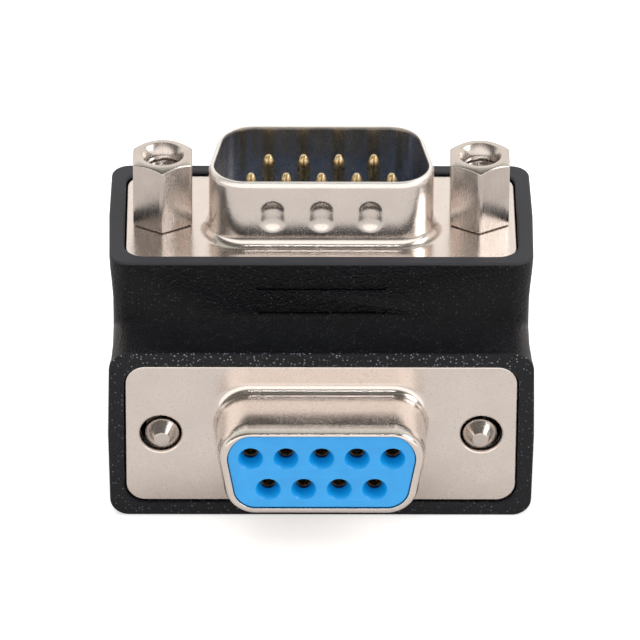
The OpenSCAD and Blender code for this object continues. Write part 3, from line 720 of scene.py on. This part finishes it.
def socket_insulator():
    bm = bmesh.new()
    d = shell_inside("socket_front_insulator", SOCKET, SOCKET_R)
    _, _, back, face = port_size("socket_front_insulator", SOCKET)
    soft = 0.07 * MM
    gap = 0.05 * MM
    face_t = 1.4 * MM
    front = [(FACE_GROW - soft - HAIR, face)] + arc(FACE_GROW - soft, face - soft, soft, 90, 0, 4)
    behind = [(FACE_GROW, face - face_t), (-gap, face - face_t), (-gap, back + BASE_T)]
    behind += [(BASE_GROW, back + BASE_T), (BASE_GROW, back)]
    rings = [ring(bm, d_points(d, grow, z, lift=MOUTH_LIFT)) for grow, z in front]
    rings += [ring(bm, d_points(d, grow, z)) for grow, z in behind]
    lathe(bm, rings)
    front_loops = [rings[0]]
    back_loops = [rings[-1]]
    lip = 0.05 * MM
    bore = [(ENTRY_SINK_R + lip, face), (ENTRY_SINK_R + 0.3 * lip, face - 0.25 * lip)]
    bore += [(ENTRY_SINK_R - 0.35 * lip, face - lip), (ENTRY_R, face - ENTRY_SINK)]
    bore += [(ENTRY_R, face - ENTRY_L), (CONTACT_HOLE_R, face - ENTRY_L), (CONTACT_HOLE_R, back)]
    for i in CONTACTS:
        bore_rings = [ring(bm, circle(contact_place(i), r, z, steps=40)) for r, z in bore]
        lathe(bm, bore_rings)
        front_loops.append(bore_rings[0])
        back_loops.append(bore_rings[-1])
    plane_face(bm, front_loops)
    plane_face(bm, back_loops)
    node = "socket_front_insulator"
    make_piece("socket_front_block", bm, SOCKET, "adapter", "blue_insulator", node, crease=25)


# ---- pins ----

PIN_R = 0.5 * MM
PIN_TIP_L = 0.85 * MM
PIN_NIB_R = 0.2 * MM  # radius where the bullet tip starts
PIN_CUT = 1.2 * MM  # height at which the rolled front joins the CAD pin's rear
SEAM_HALF_W = 0.075 * MM
SEAM_DEPTH = 0.16 * MM


def pin_radius(down):
    """Radius of a pin's bullet tip at a depth below its end."""
    ogive = (PIN_TIP_L ** 2 + (PIN_R - PIN_NIB_R) ** 2) / (2 * (PIN_R - PIN_NIB_R))
    left = max(0, PIN_TIP_L - down)
    return PIN_R - ogive + math.sqrt(ogive ** 2 - left ** 2)


def seam(angle, radius):
    """Depth of the seam where the rolled sheet of a pin meets, on the side of the wide row."""
    across = abs(radius * math.cos(angle))
    if math.sin(angle) < 0 or across > SEAM_HALF_W:
        return 0
    return min(SEAM_DEPTH, 0.6 * radius) * (1 - (across / SEAM_HALF_W) ** 2)


def pin(i):
    """The CAD pin's rear with a rolled front: a bullet tip, and the seam along it."""
    node = f"plug_pin_{i}"
    bm = welded_copy(node)
    bmesh.ops.transform(bm, matrix=PLUG.inverted(), verts=bm.verts)
    tip = port_size(node, PLUG)[3]
    place = contact_place(i)
    axis = Vector((-place.x, place.y, 0))
    clip_above(bm, PIN_CUT)
    close_openings(bm)
    across_seam = [math.radians(90 + 1.5 * k) for k in range(-8, 9)]
    elsewhere = [math.radians(108 + 12 * k) for k in range(28)]
    steps = 14
    end = 0.02 * MM
    # The front's outline, as (depth below the pin's end, radius).
    levels = [(0, 0.05 * MM), (0.004 * MM, 0.09 * MM)]
    for k in range(steps + 1):
        down = PIN_TIP_L * (k / steps) ** 1.5
        levels.append((down + end, pin_radius(down)))
    levels.append((tip - PIN_CUT, PIN_R))
    rings = []
    for down, r in levels:
        points = []
        for a in across_seam + elsewhere:
            radius = r - seam(a, r)
            points.append(axis + Vector((radius * math.cos(a), radius * math.sin(a), tip - down)))
        rings.append(ring(bm, points))
    lathe(bm, rings)
    bm.faces.new(rings[0])
    bm.faces.new(rings[-1])
    make_piece(f"rolled_pin_{i}", bm, PLUG, "adapter", "gold_contact", node)


# ---- fixings ----

THREAD_PITCH = 0.635 * MM  # 40 turns to the inch

# Hexagonal standoff
HEX_AF = 4.65 * MM
HEX_CORNER_R = 0.12 * MM
FOOT = 0.12 * MM  # height of its undercut foot
SINK_R = 1.7 * MM
SINK_END_R = 1.32 * MM
SINK_DEPTH = 0.85 * MM
CROWN_R = 2.12 * MM  # radius where its top starts to slope
CROWN_SLOPE = 30  # degrees
THREAD_DEPTH = 5.0 * MM
BORE_ROOT_R = 1.42 * MM
BORE_CREST_R = 1.17 * MM
STUD_R = 1.4 * MM
STUD_ROOT_R = 1.16 * MM
STUD_NECK = 1.0 * MM  # its plain stretch, through the flange
STUD_END_R = 1.1 * MM

# Jackscrew
SCREW_R = 1.35 * MM
SCREW_ROOT_R = 1.16 * MM
SCREW_CORE_R = 1.2 * MM
SCREW_FRONT = 5.6 * MM  # length of the new front
# Its tip, as (radius, depth behind the end of the CAD tip) in mm.
TIP_POINTS = ((0.56, -0.16), (0.62, -0.14), (0.65, -0.1), (1.33, 0.76), (1.35, 0.82), (1.35, 1.2))
TIP_L = 1.25 * MM


def hex_radius(angle, flat):
    """Distance from the axis of a hexagon with slightly rounded corners, one of which points to +Y."""
    turn = (angle - math.pi / 2) % (math.pi / 3)
    from_corner = min(turn, math.pi / 3 - turn)
    plain = flat / 2 / math.cos(math.pi / 6 - from_corner)
    corner = flat / math.sqrt(3) - HEX_CORNER_R * (2 / math.sqrt(3) - 1)
    centre = flat / math.sqrt(3) - HEX_CORNER_R * 2 / math.sqrt(3)
    if from_corner * centre >= HEX_CORNER_R * 0.4:
        return plain
    across = centre * math.sin(from_corner)
    rounded = centre * math.cos(from_corner) + math.sqrt(max(0, HEX_CORNER_R ** 2 - across ** 2))
    return min(plain, rounded, corner)


def hex_angles():
    """Angles round a hexagon, closer together at its corners."""
    first_half = (0, 0.3, 0.6, 1, 1.4, 1.9, 2.5, 3.5, 6, 10, 15, 22, 30)
    second_half = (38, 45, 50, 54, 56.5, 57.5, 58.1, 58.6, 59, 59.4, 59.7)
    return [math.radians(90 + 60 * k + s) for k in range(6) for s in first_half + second_half]


def thread_rings(bm, axis, angles, root, crest, top, bottom, inwards):
    """Rings of a screw thread, from the top down. inwards makes it an inner thread."""
    rings_per_turn = 8
    step = THREAD_PITCH / rings_per_turn
    hand = 1 if inwards else -1
    rings = []
    for k in range(int((top - bottom) / step) + 1):
        z = top - k * step
        fade = min(1, k / 6, (z - bottom) / (4 * step))
        points = []
        for a in angles:
            turn = (z / THREAD_PITCH + hand * a / (2 * math.pi)) % 1
            tooth = min(1, max(0, 1.35 * abs(2 * turn - 1) - 0.17))
            points.append(round_point(axis, root + (crest - root) * tooth * fade, a, z))
        rings.append(ring(bm, points))
    return rings


def standoff(side, sign):
    """Hexagonal standoff with a crowned top, a countersunk threaded bore and its stud."""
    bm = bmesh.new()
    axis = Vector((sign * screw_offset(), 0, 0))
    _, _, stud_end, top = port_size("standoff_" + side, PLUG)
    angles = hex_angles()

    def level(radius_of, height_of):
        """A ring whose radius goes by the angle, and whose height goes by the radius."""
        points = []
        for a in angles:
            radius = radius_of(a)
            points.append(round_point(axis, radius, a, height_of(radius)))
        return ring(bm, points)

    def round_level(radius, height):
        return ring(bm, [round_point(axis, radius, a, height) for a in angles])

    def outline(inset):
        return lambda a: hex_radius(a, HEX_AF - 2 * inset)

    def crown(radius):
        return top - max(0, radius - CROWN_R) * math.tan(math.radians(CROWN_SLOPE))

    undercut = 1.4 * FOOT
    rings = [
        level(outline(undercut), lambda r: 0),
        level(outline(undercut), lambda r: 0.5 * FOOT),
        level(outline(0), lambda r: FOOT),
        level(outline(0), lambda r: crown(r) - 0.07 * MM),
        level(outline(0.02 * MM), lambda r: crown(r) - 0.02 * MM),
        level(lambda a: hex_radius(a, HEX_AF) - 0.08 * MM, crown),
        level(lambda a: CROWN_R + 0.05 * MM, crown),
        round_level(CROWN_R - 0.07 * MM, top),
        round_level(SINK_R + 0.1 * MM, top),
        round_level(SINK_R + 0.03 * MM, top - 0.01 * MM),
        round_level(SINK_R - 0.02 * MM, top - 0.05 * MM),
        round_level(SINK_END_R, top - SINK_DEPTH),
    ]
    thread_top = top - SINK_DEPTH - 0.05 * MM
    thread_end = top - THREAD_DEPTH
    rings += thread_rings(bm, axis, angles, BORE_ROOT_R, BORE_CREST_R, thread_top, thread_end, True)
    rings.append(round_level(0.3 * MM, thread_end - 0.1 * MM))
    lathe(bm, rings)
    bm.faces.new(rings[-1])
    stud = [round_level(STUD_R, 0), round_level(STUD_R, -STUD_NECK)]
    stud += thread_rings(bm, axis, angles, STUD_ROOT_R, STUD_R, -STUD_NECK, stud_end + 0.2 * MM, False)
    stud.append(round_level(STUD_END_R, stud_end))
    strip(bm, rings[0], stud[0])
    lathe(bm, stud)
    bm.faces.new(stud[-1])
    make_piece("hex_" + side, bm, PLUG, "adapter", "nickel_turned", "standoff_" + side)


def jackscrew(side, sign):
    """The CAD screw's head and shaft with soft edges, and a thread on its front."""
    node = "jackscrew_" + side
    bm = welded_copy(node)
    bmesh.ops.transform(bm, matrix=SOCKET.inverted(), verts=bm.verts)
    tip = port_size(node, SOCKET)[3]
    axis = Vector((sign * screw_offset(), 0, 0))
    front_start = tip - SCREW_FRONT
    clip_above(bm, front_start)
    hard = [e for e in bm.edges if e.is_manifold and e.calc_face_angle(0) > math.radians(25)]
    round_edges(bm, hard, 0.05 * MM, 2)
    close_openings(bm)
    steps = 64
    angles = [2 * math.pi * k / steps for k in range(steps)]
    front = [ring(bm, circle(axis, r * MM, tip - down * MM, steps)) for r, down in TIP_POINTS]
    thread_end = front_start + 0.25 * MM
    front += thread_rings(bm, axis, angles, SCREW_ROOT_R, SCREW_R, tip - TIP_L, thread_end, False)
    for up in (0.2 * MM, -0.3 * MM):
        front.append(ring(bm, circle(axis, SCREW_CORE_R, front_start + up, steps)))
    lathe(bm, front)
    bm.faces.new(front[0])
    bm.faces.new(front[-1])
    make_piece("thumbscrew_" + side, bm, SOCKET, "screw_" + side, "nickel_turned", node)


# ---- moulded body ----

def soft_edge(edge, box):
    """Whether an edge of the moulded body is one that shows and that a mould would soften."""
    lo, hi = box
    if not edge.is_manifold or edge.calc_face_angle(0) < math.radians(28):
        return False
    mid = (edge.verts[0].co + edge.verts[1].co) / 2
    near = 0.3 * MM
    at_mouth = mid.z > hi.z - near or mid.y < lo.y + near
    at_side = abs(mid.x) > hi.x - 1.0 * MM
    outside = at_side or mid.y > hi.y - near or mid.z < lo.z + near
    return at_mouth or outside


def line_edge(edge, face_y):
    """Whether an edge is the mouth of an engraved grip line on the front of the plug's arm."""
    if not edge.is_manifold or edge.calc_face_angle(0) < math.radians(60):
        return False
    reach = 6 * MM
    return all(abs(v.co.y - face_y) < 0.01 * MM and abs(v.co.x) < reach for v in edge.verts)


WAIST = 0.28 * MM
WAIST_BELOW_RIM = 4.5 * MM  # it is at its full depth this far below the plug's rim
WAIST_BEHIND_FRONT = 2.5 * MM  # and this far behind the socket's
SIDE_CUTS = 13


def waist(below_rim, behind_front):
    """How far a side of the body is drawn in at a place on it, clear of the rims round the two plates."""
    share = min(1, max(0, min(below_rim / WAIST_BELOW_RIM, behind_front / WAIST_BEHIND_FRONT)))
    return WAIST * share * share * (3 - 2 * share)


def cut_sides(bm, half_width, place, way):
    """Cuts the body's two sides along a plane, so that they can bend there."""
    near = half_width - 2 * MM
    sides = [f for f in bm.faces if abs(f.normal.x) > 0.9 and abs(f.verts[0].co.x) > near]
    part = [*sides, *{e for f in sides for e in f.edges}, *{v for f in sides for v in f.verts}]
    bmesh.ops.bisect_plane(bm, geom=part, dist=0.002 * MM, plane_co=place, plane_no=way)


def body():
    """The CAD body with its edges softened and its two sides drawn in a little at the waist."""
    bm = welded_copy("overmold")
    lo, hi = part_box("overmold")
    round_edges(bm, [e for e in bm.edges if soft_edge(e, (lo, hi))], 0.2 * MM, 4)
    arm_front_y = min(v.co.y for v in bm.verts if v.co.z > hi.z - 3 * MM)
    round_edges(bm, [e for e in bm.edges if line_edge(e, arm_front_y)], 0.07 * MM, 2)
    for k in range(1, SIDE_CUTS + 1):
        cut_sides(bm, hi.x, (0, lo.y + 0.7 * k ** 1.5 * MM, 0), (0, 1, 0))
        cut_sides(bm, hi.x, (0, 0, hi.z - 0.5 * k ** 1.5 * MM), (0, 0, 1))
    still_x = 12 * MM
    full_x = 15.5 * MM
    for v in bm.verts:
        reach = min(1, max(0, (abs(v.co.x) - still_x) / (full_x - still_x)))
        v.co.x -= math.copysign(waist(hi.z - v.co.z, v.co.y - lo.y) * reach, v.co.x)
    make_piece("body", bm, None, "adapter", "black_pvc", "overmold")


plug_shell()
socket_shell()
socket_insulator()
for i in CONTACTS:
    pin(i)
# The plug's own frame is turned half round, so its left is at +X there.
for side, sign in (("left", 1), ("right", -1)):
    standoff(side, sign)
for side, sign in (("left", -1), ("right", 1)):
    jackscrew(side, sign)
body()
